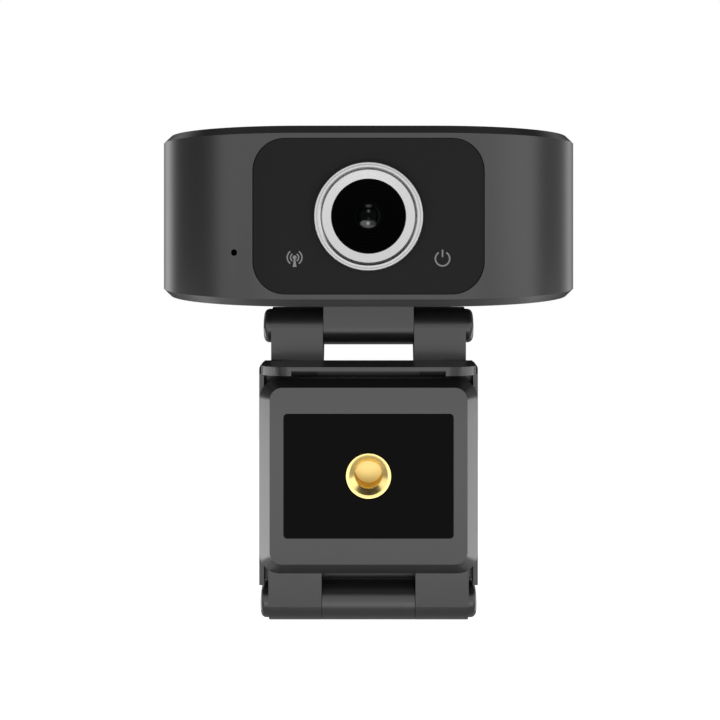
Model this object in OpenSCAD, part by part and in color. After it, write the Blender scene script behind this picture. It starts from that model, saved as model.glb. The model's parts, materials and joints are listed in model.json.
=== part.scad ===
// Webcam with a folding clip stand, stored closed.
// Frame: +X to the viewer's right, -Y the way the lens looks, +Z up.
// Origin: axis of the tripod thread, at the foot of its countersink.

/* [Head] */
// Width of the head between its two pointed ends
head_w = 82; // [76:1:90]
// Height of the head
head_h = 31.6; // [29:0.2:36]
// Depth of the head from its flat front to its flat back
head_d = 47.8; // [44:0.2:54]
// Width of the straight run in the middle of the front and of the back
head_flat = 23; // [16:1:30]
// Chamfer along the top and bottom rims of the head
head_chamfer = 1.4; // [0.8:0.1:2]
// Wall of the two head shells
shell_wall = 2; // [1.6:0.1:2.4]
// Shadow line between the two shells
seam_gap = 0.25; // [0.15:0.05:0.4]
// Height of the lens axis above the tripod thread
lens_z = 48.85; // [46:0.05:54]

/* [Face] */
// Width of the black face panel
face_w = 40.3; // [36:0.1:44]
// Height of the black face panel
face_h = 26.9; // [24:0.1:28]
// Corner radius of the face panel
face_r = 5.7; // [3:0.1:8]
// Thickness of the face panel
face_t = 1; // [0.8:0.1:1.2]
// Depth that the face panel sits below the shell
face_sink = 0.15; // [0.05:0.05:0.3]
// Sideways distance of each indicator from the lens axis
indicator_x = 12.8; // [12:0.1:15]
// Distance of the indicators below the lens axis
indicator_drop = 7.4; // [5:0.1:9]
// Diameter of each light guide
guide_d = 3; // [2:0.1:3.6]

/* [Lens] */
// Outer diameter of the bezel round the lens
bezel_d = 18.8; // [18:0.1:20]
// Distance that the bezel stands proud of the head
bezel_proud = 1.2; // [0.8:0.1:1.8]
// Outer diameter of the silver ring
trim_d = 16.4; // [15.6:0.1:17]
// Mouth of the black light hood
hood_mouth_d = 12.7; // [11:0.1:13.5]
// Opening at the foot of the light hood
hood_foot_d = 5; // [4.4:0.1:5.6]
// Depth of the light hood
hood_depth = 4.2; // [3:0.1:5]
// Diameter of the lens barrel
barrel_d = 8; // [7.6:0.1:9]
// Length of the lens barrel
barrel_len = 6.4; // [5.5:0.1:8]

/* [Microphone] */
// Diameter of the microphone hole
mic_hole_d = 1.15; // [0.8:0.05:1.6]
// Sideways distance of the microphone hole from the lens axis
mic_x = 23.65; // [22.5:0.05:25]
// Distance of the microphone hole below the lens axis
mic_drop = 6.4; // [5:0.1:8]
// Diameter of the microphone capsule
mic_d = 4; // [3:0.1:5]

/* [Electronics] */
// Width of the camera board
board_w = 50; // [47:1:51]
// Height of the camera board
board_h = 21; // [19:0.5:23]
// Thickness of the camera board
board_t = 1.2; // [0.8:0.1:1.6]
// Depth of the board's front face behind the head's front
board_y = 15; // [14.5:0.1:15.6]
// Diameter of the cable inlet
cable_d = 3.6; // [3:0.1:4.5]

/* [Hinges] */
// Outer radius of both hinge barrels
barrel_r = 3.75; // [3.5:0.05:4.2]
// Half the gap between a pair of ears
ear_gap_half = 8.95; // [8:0.05:10]
// Width of one ear
ear_w = 10.15; // [8:0.05:11]
// Running clearance at each side of a knuckle
knuckle_side_gap = 0.1; // [0.05:0.01:0.2]
// Diameter of the hinge pins
pin_d = 2.5; // [2:0.1:3]
// Running clearance between a pin and its friction sleeve, on the radius
pin_running_gap = 0.03; // [0.02:0.01:0.06]
// Outer diameter of the friction sleeves
sleeve_d = 4.6; // [4.2:0.1:5]
// Diameter of the caps on the hinge ends
cap_d = 6.7; // [5.5:0.1:7]
// Distance that a cap stands out of its ear
cap_proud = 1.65; // [1:0.05:2]
// Drop from the lens axis to the tilt axis
tilt_drop = 21.9; // [21:0.1:25]
// Distance between the two hinge axes, measured along Z
hinge_span = 52.6; // [51.5:0.1:58]

/* [Bracket] */
// Thickness of the bracket plate and its two legs
plate_t = 4.5; // [3.5:0.1:6]
// Overall width of the bracket plate
plate_w = 42.2; // [42:0.1:46]
// Corner radius at the top of the plate
plate_top_r = 1.3; // [0.8:0.1:2]
// Corner radius at the foot of the plate's side rims
rim_foot_r = 2.6; // [1:0.1:3]
// Width of the raised rim at each side of the plate
rim_w = 0.9; // [0.8:0.1:1.2]
// Height of the rim above the plate
rim_h = 2.65; // [2:0.05:3]
// Width of the lip over the top of the folded leg
lip_w = 40.6; // [38:0.1:42]
// Thickness of the lip
lip_t = 1.67; // [1.4:0.01:2]
// Reach of the lip in front of the plate
lip_reach = 7.85; // [7:0.05:9]
// Width of each rounded corner of the lip
lip_corner_w = 5.6; // [3:0.1:6]
// Depth of each rounded corner of the lip
lip_corner_d = 2; // [1:0.1:3]
// Width of the finger notch under the lip
notch_w = 28.9; // [20:0.1:32]
// Height of the finger notch
notch_h = 0.9; // [0.5:0.05:1]
// Depth of the finger notch
notch_d = 6.9; // [2:0.1:7]
// Height of the lip's top above the tripod thread
lip_top_z = 20.6; // [20.2:0.05:22]
// Distance that the gap between the legs runs below the lip's top
leg_gap_below_lip = 2.4; // [2.2:0.1:3]

/* [Folding leg] */
// Width of the leg's flat front face
leg_face_w = 37.2; // [36:0.1:38]
// Height of the leg's flat front face
leg_face_h = 33.2; // [31:0.1:34]
// Corner radius of the flat face
leg_face_r = 2.4; // [1.5:0.1:3.5]
// Width of the bevel at each side of the face
bevel_side = 2.2; // [1.8:0.05:2.4]
// Width of the bevel at the free end of the leg
bevel_top = 1.3; // [0.8:0.05:1.8]
// Width of the bevel at the hinged end of the leg
bevel_foot = 2.65; // [1.5:0.05:3]
// Depth of the bevel
bevel_d = 2.4; // [1.5:0.05:3]
// Corner radius of the bevel's outer edge
leg_outer_r = 3.9; // [2.5:0.1:5]
// Thickness of the leg behind its bevel
leg_back_t = 3.75; // [3.4:0.05:4.4]
// Thickness of the overhanging flange round the leg
leg_flange_t = 1.75; // [1:0.05:2]

/* [Pads and thread] */
// Width of the outer rubber pad
pad_w = 31.9; // [28:0.1:34]
// Height of the outer rubber pad
pad_h = 23.3; // [20:0.1:28]
// Corner radius of the rubber pads
pad_r = 0.7; // [0.4:0.1:2]
// Distance that the outer pad stands proud
pad_proud = 0.25; // [0.1:0.05:0.4]
// Depth of the pocket that holds a pad
pad_pocket = 0.6; // [0.4:0.05:0.8]
// Radius of the tripod thread at its crests
thread_r = 2.625; // [2.5:0.005:2.7]
// Length of the tripod thread
thread_len = 4.3; // [3.5:0.1:4.4]
// Depth of the countersink at the mouth of the thread
countersink_d = 0.8; // [0.4:0.1:1.2]
// Radius of the countersink at the face
countersink_r = 3.6; // [3:0.1:3.8]
// Radius of the insert's flange
insert_flange_r = 4.35; // [4.2:0.05:5]
// Radius of the insert's body
insert_body_r = 3.8; // [3.5:0.1:4]

/* [Hidden] */
$fn = 96;
eps = 0.01;
slack = 0.1;          // clearance between still pieces
far = 200;

// Depths, measured along Y in the part's frame
leg_face_y = -countersink_d;
bevel_back_y = leg_face_y + bevel_d;
leg_back_y = bevel_back_y + leg_back_t;
fold_y = bevel_back_y + barrel_r;
plate_gap = 0.95;     // between the leg's back and the plate
plate_y = leg_back_y + plate_gap;
plate_back_y = plate_y + plate_t;
tilt_y = plate_y + barrel_r;
head_front_y = tilt_y - head_d / 2;
lip_front_y = plate_y - lip_reach;

// Heights, measured along Z in the part's frame
tilt_z = lens_z - tilt_drop;
fold_z = tilt_z - hinge_span;
gap_floor_z = lip_top_z - leg_gap_below_lip;
leg_face_top = leg_face_h / 2;
leg_face_foot = -leg_face_h / 2;
leg_top_z = leg_face_top + bevel_top;
leg_foot_z = leg_face_foot - bevel_foot;

// Head plan: two arcs that meet in a point at each end
arc_run = head_w / 2 - head_flat / 2;
arc_r = (arc_run * arc_run + head_d * head_d / 4) / head_d;

// Depth behind the head's flat front of a shell surface, inset by the given wall, at a distance x
function front_depth(x, inset = 0) =
    arc_r - sqrt(pow(arc_r - inset, 2) - pow(max(0, abs(x) - head_flat / 2), 2));

// ---------- shapes used by several pieces ----------

// A slab of height h with straight front and back and round ends, its rims chamfered
module round_slab(half, r, h, c) {
    profile = [[r - c, -h / 2], [r, c - h / 2], [r, h / 2 - c], [r - c, h / 2]];
    for (side = [-1, 1])
        translate([side * half, 0, 0])
            rotate_extrude($fn = 180)
                polygon(concat([[0, -h / 2]], profile, [[0, h / 2]]));
    translate([-half, 0, 0])
        rotate([90, 0, 90])
            linear_extrude(2 * half)
                polygon(concat(profile, [for (i = [3:-1:0]) [-profile[i][0], profile[i][1]]]));
}

// The head's outer form, drawn in by inset, with the given chamfer
module head_form(inset = 0, chamfer = head_chamfer) {
    intersection() {
        translate([0, arc_r, 0])
            round_slab(head_flat / 2, arc_r - inset, head_h - 2 * inset, chamfer);
        translate([0, head_d - arc_r, 0])
            round_slab(head_flat / 2, arc_r - inset, head_h - 2 * inset, chamfer);
    }
}

// Everything between two depths of the head
module depth_band(from, to) {
    translate([-far / 2, from, -far / 2])
        cube([far, to - from, far]);
}

// Rounded rectangle drawn on the XZ plane and extruded along +Y from depth y
module rounded_plate(w, h, r, y, t, z = 0) {
    translate([0, y + t, z])
        rotate([90, 0, 0])
            linear_extrude(t)
                rounded_rect(w, h, r);
}

module rounded_rect(w, h, r) {
    square([w - 2 * r, h], center = true);
    square([w, h - 2 * r], center = true);
    for (sx = [-1, 1], sz = [-1, 1])
        translate([sx * (w / 2 - r), sz * (h / 2 - r)])
            circle(r);
}

// Revolve of a profile of [radius, depth] points about an axis along Y
module turned(profile) {
    rotate([-90, 0, 0])
        rotate_extrude()
            polygon(profile);
}

// Round bar or bore along Y
module along_y(d, from, to) {
    translate([0, from, 0])
        rotate([-90, 0, 0])
            cylinder(d = d, h = to - from);
}

// Round bar or bore along X, between two X positions
module along_x(r, from, to) {
    translate([from, 0, 0])
        rotate([0, 90, 0])
            cylinder(r = r, h = to - from);
}

// Puts a shape drawn about the lens axis onto the head
module on_head() {
    translate([0, head_front_y, lens_z])
        children();
}

// ---------- head: shells and face ----------
split_y = head_d / 2;
floor_z = -head_h / 2 + shell_wall;
knuckle_half = ear_gap_half - knuckle_side_gap;
screw_d = 1.9;
screw_head_d = 3.6;
screw_bite = 0.02;    // clearance of a screw shank in its pilot hole
case_screw_len = 16;
case_head_t = 1.4;
board_screw_len = 6.8;
case_pilot_len = 10;
board_pilot_len = 7.5;
neck_screw_len = 3.7;
mic_bore_len = 12;
board_head_d = 3.4;
board_head_t = 1.1;
case_screw_at = [30, 9];
case_joint_y = split_y - 2;
case_head_y = case_joint_y + 7;
board_screw_at = [17.5, 8.2];
boss_d = 5;
post_d = 6.4;
spigot_r = bezel_d / 2 - 0.7;
neck_flange = [26, 13, 2.5];
neck_screw_at = [11, 4.2];
grommet_z = -5;
grommet_wall = 1.1;   // rubber round the cable, and again in each flange
grommet_r = cable_d / 2 + grommet_wall;
tongue_t = 0.9;
panel_glue = 0.05;    // adhesive film behind the face panel
sensor_size = [8, 0.9, 7.2];
filter_w = 8.9;
filter_t = 0.4;
chip_size = [9, 1.1, 9];
chip_at = [-12, -4.5];
socket_size = [8, 4, 3.4];
socket_at = [9, -1.7];
socket_wall = 0.6;
led_size = [1.6, 0.9, 0.8];
guide_front_y = front_depth(indicator_x + guide_d / 2, face_sink + face_t + panel_glue) + slack;
guide_flange_r = guide_d / 2 + 0.7;
guide_flange_y = front_depth(indicator_x + guide_flange_r, shell_wall) + slack;

module at_corners(at) {
    for (sx = [-1, 1], sz = [-1, 1])
        translate([sx * at[0], 0, sz * at[1]])
            children();
}

// Front-facing layer of the shell between two depths below its surface
module face_layer(from, to, w, h, r) {
    intersection() {
        rounded_plate(w, h, r, -1, 9);
        difference() {
            plan_slab(from);
            plan_slab(to);
        }
    }
}

module plan_slab(inset) {
    translate([0, arc_r, -head_h / 2])
        linear_extrude(head_h) {
            square([head_flat, 2 * (arc_r - inset)], center = true);
            for (side = [-1, 1])
                translate([side * head_flat / 2, 0])
                    circle(arc_r - inset, $fn = 180);
        }
}

module neck_slot() {
    slot_x = 2 * (knuckle_half + slack);
    slot_y = 2 * (barrel_r + slack);
    translate([-slot_x / 2, split_y - slot_y / 2, -head_h / 2 - 1])
        cube([slot_x, slot_y, shell_wall + 2]);
}

module front_shell() {
    color("dimgray")
        on_head()
            difference() {
                union() {
                    difference() {
                        head_form();
                        head_form(shell_wall, 0.6);
                        depth_band(split_y, head_d + 1);
                    }
                    intersection() {
                        head_form(shell_wall / 2, 0.6);
                        union() {
                            at_corners(case_screw_at)
                                along_y(boss_d, 0, case_joint_y);
                            at_corners(board_screw_at)
                                along_y(boss_d - 0.6, 0, board_y);
                        }
                    }
                }
                face_layer(-1, face_sink + face_t + panel_glue, face_w + 2 * slack, face_h + 2 * slack, face_r);
                along_y(2 * (spigot_r + slack), -1, 7);
                for (side = [-1, 1])
                    translate([side * indicator_x, 0, -indicator_drop])
                        along_y(guide_d + 2 * slack, -1, 7);
                translate([-mic_x, 0, -mic_drop])
                    along_y(mic_hole_d, -1, mic_bore_len);
                at_corners(case_screw_at)
                    along_y(screw_d + 2 * screw_bite, case_joint_y - case_pilot_len, split_y);
                at_corners(board_screw_at)
                    along_y(screw_d + 2 * screw_bite, board_y - board_pilot_len, board_y + 1);
                neck_slot();
            }
}

module rear_shell() {
    color("dimgray")
        on_head()
            difference() {
                union() {
                    difference() {
                        head_form();
                        head_form(shell_wall, 0.6);
                        depth_band(-1, split_y);
                        shadow_line();
                    }
                    tongue();
                    intersection() {
                        head_form(shell_wall / 2, 0.6);
                        at_corners(case_screw_at)
                            along_y(post_d, case_joint_y, head_d);
                    }
                }
                neck_slot();
                at_corners(case_screw_at) {
                    along_y(screw_d + 0.3, case_joint_y - 1, case_head_y + 1);
                    along_y(screw_head_d + 0.4, case_head_y, head_d + 1);
                }
                for (side = [-1, 1])
                    translate([side * neck_screw_at[0], split_y + neck_screw_at[1], floor_z - 1.4])
                        cylinder(d = screw_d + 2 * screw_bite, h = 3);
                translate([0, 0, grommet_z])
                    along_y(2 * (grommet_r + slack / 2), head_d - 4, head_d + 1);
            }
}

// Narrow groove round the rear shell where it meets the front one
module shadow_line() {
    difference() {
        depth_band(split_y - 1, split_y + 0.35);
        head_form(seam_gap);
    }
}

// Rim of the rear shell that fits inside the front one, open where the neck passes
module tongue() {
    difference() {
        union() {
            intersection() {
                head_form(shell_wall + slack, 0.5);
                depth_band(split_y - 1.5, split_y + 0.1);
            }
            intersection() {
                head_form(shell_wall - 0.2, 0.6);
                depth_band(split_y + 0.35, split_y + 1.8);
            }
            intersection() {
                head_form(shell_wall + slack, 0.5);
                depth_band(split_y, split_y + 1);
            }
        }
        head_form(shell_wall + tongue_t, 0.4);
        translate([-neck_flange[0] / 2 - slack, 0, -far])
            cube([neck_flange[0] + 2 * slack, head_d, far]);
        at_corners(case_screw_at)
            along_y(boss_d + 0.4, 0, split_y);
    }
}

module face_panel() {
    color("black")
        on_head()
            difference() {
                face_layer(face_sink, face_sink + face_t, face_w, face_h, face_r);
                along_y(2 * (spigot_r + slack), -1, 7);
            }
}

// ---------- head: lens ----------
trim_r = trim_d / 2;
hood_r = hood_mouth_d / 2;
hood_foot_y = hood_depth + 0.2;
seat_y = 0.7;         // shoulder that carries the silver ring
holder_w = 13;
filter_y = 12.2;
glass_r = barrel_d / 2 - 1.25;
lens_hole_r = glass_r - 0.6;

module lens_bezel() {
    rim_r = bezel_d / 2;
    color("silver")
        on_head()
            turned([
                [trim_r + slack / 2, seat_y], [trim_r + slack / 2, 0.25 - bezel_proud],
                [trim_r + 0.3, -bezel_proud], [rim_r - 0.75, -bezel_proud],
                [rim_r - 0.55, 0.3 - bezel_proud], [rim_r - 0.4, 0.1 - bezel_proud],
                [rim_r - 0.2, 0.1 - bezel_proud], [rim_r, 0.3 - bezel_proud],
                [rim_r, face_sink], [spigot_r, face_sink], [spigot_r, hood_depth - 0.6],
                [trim_r - 0.9, hood_depth - 0.6], [trim_r - 0.9, seat_y]
            ]);
}

module lens_trim() {
    color("silver")
        on_head()
            turned([
                [trim_r, seat_y], [trim_r, -0.35], [trim_r - 0.2, -0.5],
                [hood_r + 0.15, -0.2], [hood_r + 0.05, -0.05], [hood_r + 0.05, seat_y]
            ]);
}

// The inside of the hood steps inwards like a light baffle
module light_hood() {
    steps = 7;
    foot_r = hood_foot_d / 2;
    shrink = (hood_r - 0.15 - foot_r) / steps;
    rise = (hood_depth - 0.1) / steps;
    baffle = [
        for (i = [0:steps - 1], half = [0, 1])
            [hood_r - 0.15 - (i + half * 0.55) * shrink, 0.1 + (i + half) * rise]
    ];
    color("#101010")
        on_head()
            turned(concat(
                baffle,
                [
                    [foot_r, hood_depth], [foot_r, hood_foot_y], [hood_r - 1.5, hood_foot_y],
                    [hood_r - 1.5, hood_depth - 0.6], [trim_r - 0.95, hood_depth - 0.6],
                    [trim_r - 0.95, seat_y + 0.02], [hood_r, seat_y + 0.02], [hood_r, 0.1]
                ]
            ));
}

module lens_barrel() {
    color("#181818")
        on_head()
            turned([
                [lens_hole_r, hood_foot_y], [barrel_d / 2, hood_foot_y],
                [barrel_d / 2, hood_foot_y + barrel_len], [glass_r, hood_foot_y + barrel_len],
                [glass_r, hood_foot_y + 0.5], [lens_hole_r, hood_foot_y + 0.5]
            ]);
}

// A round glass with a domed front and a flat edge
module glass(r, dome, y, t) {
    bulge = (r * r + dome * dome) / (2 * dome);
    arc = [
        for (i = [0:8])
            let (x = r * i / 8)
                [x, y - dome + bulge - sqrt(bulge * bulge - x * x)]
    ];
    turned(concat(arc, [[r, y + t], [0, y + t]]));
}

module front_lens() {
    lens_y = hood_foot_y + 0.5;
    color("lightsteelblue")
        on_head()
            union() {
                turned([[0, lens_y], [glass_r - 0.02, lens_y], [glass_r - 0.02, lens_y + 1.6], [0, lens_y + 1.6]]);
                glass(lens_hole_r - 0.05, 0.45, lens_y - 0.3, 0.5);
            }
}

module rear_lens() {
    color("lightsteelblue")
        on_head()
            glass(glass_r - 0.02, 0.4, hood_foot_y + barrel_len - 1.6, 1.2);
}

module lens_holder() {
    color("#222222")
        on_head()
            difference() {
                translate([-holder_w / 2, hood_foot_y + barrel_len - 2.4, -holder_w / 2])
                    cube([holder_w, board_y - hood_foot_y - barrel_len + 2.4, holder_w]);
                along_y(barrel_d + 0.04, 0, hood_foot_y + barrel_len + 0.1);
                along_y(barrel_d - 2, 0, board_y);
                translate([-filter_w / 2 - slack / 2, filter_y, -filter_w / 2 - slack / 2])
                    cube([filter_w + slack, board_y, filter_w + slack]);
            }
}

module infrared_filter() {
    color("plum")
        on_head()
            translate([-filter_w / 2, filter_y, -filter_w / 2])
                cube([filter_w, filter_t, filter_w]);
}

module image_sensor() {
    color("darkslategray")
        on_head()
            translate([-sensor_size[0] / 2, board_y - sensor_size[1], -sensor_size[2] / 2])
                cube(sensor_size);
}

// ---------- head: electronics ----------
module camera_board() {
    color("darkgreen")
        on_head()
            difference() {
                rounded_plate(board_w, board_h, 1.5, board_y, board_t);
                at_corners(board_screw_at)
                    along_y(screw_d + 0.3, 0, head_d);
            }
}

module video_chip() {
    color("#1a1a1a")
        on_head()
            translate([chip_at[0], board_y + board_t, chip_at[1]])
                cube(chip_size);
}

module screw(d, head_d, head_h, y, length) {
    along_y(d, y - length, y + eps);
    along_y(head_d, y, y + head_h);
}

module board_screws() {
    color("silver")
        on_head()
            at_corners(board_screw_at)
                screw(screw_d, board_head_d, board_head_t, board_y + board_t, board_screw_len);
}

module mic_capsule() {
    color("gold")
        on_head()
            translate([-mic_x, 0, -mic_drop])
                along_y(mic_d, board_y - 1.6, board_y);
}

// Rubber tube from the shell's wall to the capsule, cut to the wall's slope
module mic_boot() {
    color("#151515")
        on_head()
            difference() {
                intersection() {
                    head_form(shell_wall + 0.02, 0.5);
                    translate([-mic_x, 0, -mic_drop])
                        along_y(mic_d + 1.6, 0, board_y - 0.02);
                }
                translate([-mic_x, 0, -mic_drop]) {
                    along_y(mic_hole_d + 0.3, 0, board_y);
                    along_y(mic_d + 0.06, board_y - 1.62, board_y + 1);
                }
            }
}

module light_guides() {
    color("whitesmoke")
        on_head()
            for (side = [-1, 1])
                translate([side * indicator_x, 0, -indicator_drop]) {
                    along_y(guide_d, guide_front_y, board_y - led_size[1] - slack);
                    along_y(2 * guide_flange_r, guide_flange_y, guide_flange_y + 1);
                }
}

module indicator_leds() {
    color("white")
        on_head()
            for (side = [-1, 1])
                translate([side * indicator_x, board_y - led_size[1] / 2, -indicator_drop])
                    cube(led_size, center = true);
}

module cable_socket() {
    color("ivory")
        on_head()
            translate([socket_at[0], board_y + board_t, socket_at[1]])
                difference() {
                    cube(socket_size);
                    translate([socket_wall, 2 * socket_wall, socket_wall])
                        cube(socket_size - [2 * socket_wall, 0, 2 * socket_wall]);
                }
}

module cable_grommet() {
    flange_r = grommet_r + grommet_wall;
    inner_y = head_d - shell_wall;
    color("#151515")
        on_head()
            translate([0, 0, grommet_z])
                turned([
                    [cable_d / 2, inner_y - 0.8], [flange_r, inner_y - 0.8],
                    [flange_r, inner_y - 0.02], [grommet_r, inner_y - 0.02],
                    [grommet_r, head_d + 0.02], [flange_r, head_d + 0.02],
                    [flange_r - 0.4, head_d + 0.7], [cable_d / 2 + 0.2, head_d + 0.7],
                    [cable_d / 2, head_d + 0.5]
                ]);
}

module case_screws() {
    color("silver")
        on_head()
            at_corners(case_screw_at)
                screw(screw_d, screw_head_d, case_head_t, case_head_y, case_screw_len);
}

// ---------- head: neck ----------
module neck() {
    color("dimgray")
        on_head()
            difference() {
                union() {
                    translate([0, split_y, -tilt_drop])
                        along_x(barrel_r, -knuckle_half, knuckle_half);
                    translate([-knuckle_half, split_y - barrel_r, -tilt_drop])
                        cube([2 * knuckle_half, 2 * barrel_r, tilt_drop + floor_z + eps]);
                    translate([-neck_flange[0] / 2, split_y - neck_flange[1] / 2, floor_z])
                        cube(neck_flange);
                }
                translate([0, split_y, -tilt_drop])
                    along_x(sleeve_d / 2 + 0.01, -knuckle_half - 1, knuckle_half + 1);
                for (side = [-1, 1])
                    translate([side * neck_screw_at[0], split_y + neck_screw_at[1], floor_z - 1])
                        cylinder(d = screw_d + 0.2, h = 2 * neck_flange[2]);
            }
}

module neck_screws() {
    top = floor_z + neck_flange[2];
    color("silver")
        on_head()
            for (side = [-1, 1])
                translate([side * neck_screw_at[0], split_y + neck_screw_at[1], top]) {
                    translate([0, 0, -neck_screw_len])
                        cylinder(d = screw_d, h = neck_screw_len + eps);
                    cylinder(d = board_head_d, h = board_head_t);
                }
}

// ---------- hinges ----------
cap_seat = 1.5;       // depth of the counterbore that takes a cap's spigot
cap_spigot_r = 1.95;
ear_out = ear_gap_half + ear_w;
pin_end = ear_out - cap_seat - 0.1;

// Split sleeve that grips the pin
module friction_sleeve() {
    difference() {
        along_x(sleeve_d / 2, -knuckle_half, knuckle_half);
        along_x(pin_d / 2 + pin_running_gap, -knuckle_half - 1, knuckle_half + 1);
        translate([-knuckle_half - 1, -0.4, 0])
            cube([2 * knuckle_half + 2, 0.8, sleeve_d]);
    }
}

module hinge_pin() {
    along_x(pin_d / 2, -pin_end, pin_end);
}

// One cap at each end of a hinge: a disc with a rounded rim, and a spigot in the ear
module hinge_caps() {
    round_r = min(1, cap_proud - 0.3);
    rim = [
        for (i = [0:6])
            let (a = 90 * i / 6)
                [cap_d / 2 - round_r + round_r * cos(a), cap_proud - round_r + round_r * sin(a)]
    ];
    for (side = [0, 1])
        mirror([side, 0, 0])
            translate([ear_out, 0, 0])
                rotate([0, 90, 0])
                    rotate_extrude()
                        polygon(concat(
                            [[0, -cap_seat + slack], [cap_spigot_r, -cap_seat + slack], [cap_spigot_r, 0]],
                            [[cap_d / 2, 0]], rim, [[0, cap_proud]]
                        ));
}

// Bores through a pair of ears for the pin and the two spigots
module ear_bores() {
    along_x(pin_d / 2 + 0.01, -ear_out, ear_out);
    for (side = [0, 1])
        mirror([side, 0, 0])
            along_x(cap_spigot_r + 0.02, ear_out - cap_seat, ear_out + 1);
}

module at_tilt() {
    translate([0, tilt_y, tilt_z])
        children();
}

module at_fold() {
    translate([0, fold_y, fold_z])
        children();
}

module tilt_sleeve() {
    color("goldenrod") at_tilt() friction_sleeve();
}

module fold_sleeve() {
    color("goldenrod") at_fold() friction_sleeve();
}

module tilt_pin() {
    color("silver") at_tilt() hinge_pin();
}

module fold_pin() {
    color("silver") at_fold() hinge_pin();
}

module tilt_caps() {
    color("#303032") at_tilt() hinge_caps();
}

module fold_caps() {
    color("#303032") at_fold() hinge_caps();
}

// ---------- bracket ----------
plate_foot_z = fold_z + 0.25;
barrel_relief = 0.3;  // room between the leg's barrels and the plate behind them
cap_relief = 0.35;    // room round the caps of the lower hinge
gusset_drop = 7;

// Extrudes a [Y, Z] outline along X between two positions
module extrude_x(from, to, outline) {
    translate([from, 0, 0])
        rotate([90, 0, 90])
            linear_extrude(to - from)
                polygon(outline);
}

// Front view of the plate with its rims
module plate_outline(w, top_r, foot_r) {
    for (side = [-1, 1]) {
        translate([side * (w / 2 - top_r), lip_top_z - top_r])
            circle(top_r);
        translate([side * (w / 2 - foot_r), plate_foot_z + foot_r])
            circle(foot_r);
    }
    translate([-w / 2, plate_foot_z + foot_r])
        square([w, lip_top_z - top_r - plate_foot_z - foot_r]);
    translate([-w / 2 + foot_r, plate_foot_z])
        square([w - 2 * foot_r, foot_r + eps]);
    translate([-w / 2 + top_r, lip_top_z - top_r - eps])
        square([w - 2 * top_r, top_r + eps]);
}

module plate_solid(from_y, to_y) {
    translate([0, to_y, 0])
        rotate([90, 0, 0])
            linear_extrude(to_y - from_y)
                plate_outline(plate_w, plate_top_r, rim_foot_r);
}

// Plan of the lip: straight front with a quarter ellipse at each corner
module lip() {
    corner = [
        for (i = [0:12])
            let (a = 90 * i / 12)
                [lip_w / 2 - lip_corner_w + lip_corner_w * cos(a), lip_front_y + lip_corner_d * (1 - sin(a))]
    ];
    mirrored = [for (i = [12:-1:0]) [-corner[i][0], corner[i][1]]];
    translate([0, 0, lip_top_z - lip_t])
        linear_extrude(lip_t)
            polygon(concat([[lip_w / 2, plate_y + eps]], corner, mirrored, [[-lip_w / 2, plate_y + eps]]));
    translate([-ear_gap_half - 1, plate_y - 1.1, gap_floor_z - 1])
        cube([2 * ear_gap_half + 2, 1.6, lip_top_z - lip_t - gap_floor_z + 1.1]);
}

module bracket_arm() {
    at_tilt()
        along_x(barrel_r, ear_gap_half, ear_out);
    extrude_x(ear_gap_half, ear_out, [
        [plate_y, tilt_z], [plate_y + 2 * barrel_r, tilt_z],
        [plate_back_y, tilt_z - gusset_drop], [plate_back_y, gap_floor_z - 2],
        [plate_y, gap_floor_z - 2]
    ]);
}

module bracket() {
    color("dimgray")
        difference() {
            union() {
                for (side = [0, 1])
                    mirror([side, 0, 0])
                        bracket_arm();
                difference() {
                    plate_solid(plate_y - rim_h, plate_back_y);
                    translate([-plate_w / 2 + rim_w, plate_y - rim_h - 1, -far])
                        cube([plate_w - 2 * rim_w, rim_h + 1, 2 * far]);
                    translate([-ear_gap_half, plate_y - 1, gap_floor_z])
                        cube([2 * ear_gap_half, far, far]);
                    at_fold()
                        along_x(barrel_r + barrel_relief, -ear_out - 0.2, ear_out + 0.2);
                    for (side = [0, 1])
                        mirror([side, 0, 0]) {
                            at_fold()
                                along_x(cap_d / 2 + cap_relief, ear_out - 1, plate_w);
                            translate([ear_out, plate_y, gap_floor_z])
                                cube([plate_w, plate_t + 1, far]);
                        }
                }
                lip();
                at_fold()
                    along_x(barrel_r, -knuckle_half, knuckle_half);
                translate([-knuckle_half, plate_y, plate_foot_z])
                    cube([2 * knuckle_half, plate_t, barrel_r + 1]);
            }
            translate([-notch_w / 2, lip_front_y - 1, lip_top_z - lip_t - 1])
                cube([notch_w, notch_d + 1, notch_h + 1]);
            rounded_plate(bracket_pad_w, bracket_pad_h, pad_r, plate_y - 1, pad_pocket + 1);
            at_tilt()
                ear_bores();
            at_fold()
                along_x(sleeve_d / 2 + 0.01, -knuckle_half - 1, knuckle_half + 1);
        }
}

bracket_pad_w = pad_w + 2;
bracket_pad_h = pad_h + 3;
hidden_pad_proud = 0.3;

module bracket_pad() {
    color("#151515")
        rounded_plate(bracket_pad_w - 0.1, bracket_pad_h - 0.1, pad_r,
                      plate_y - hidden_pad_proud, pad_pocket + hidden_pad_proud);
}

// ---------- folding leg ----------
leg_outer_w = leg_face_w + 2 * bevel_side;
leg_outer_h = leg_top_z - leg_foot_z;
leg_mid_z = (leg_top_z + leg_foot_z) / 2;
core_w = plate_w - 2 * rim_w - 0.7;
core_inset = (leg_outer_w - core_w) / 2;

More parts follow.
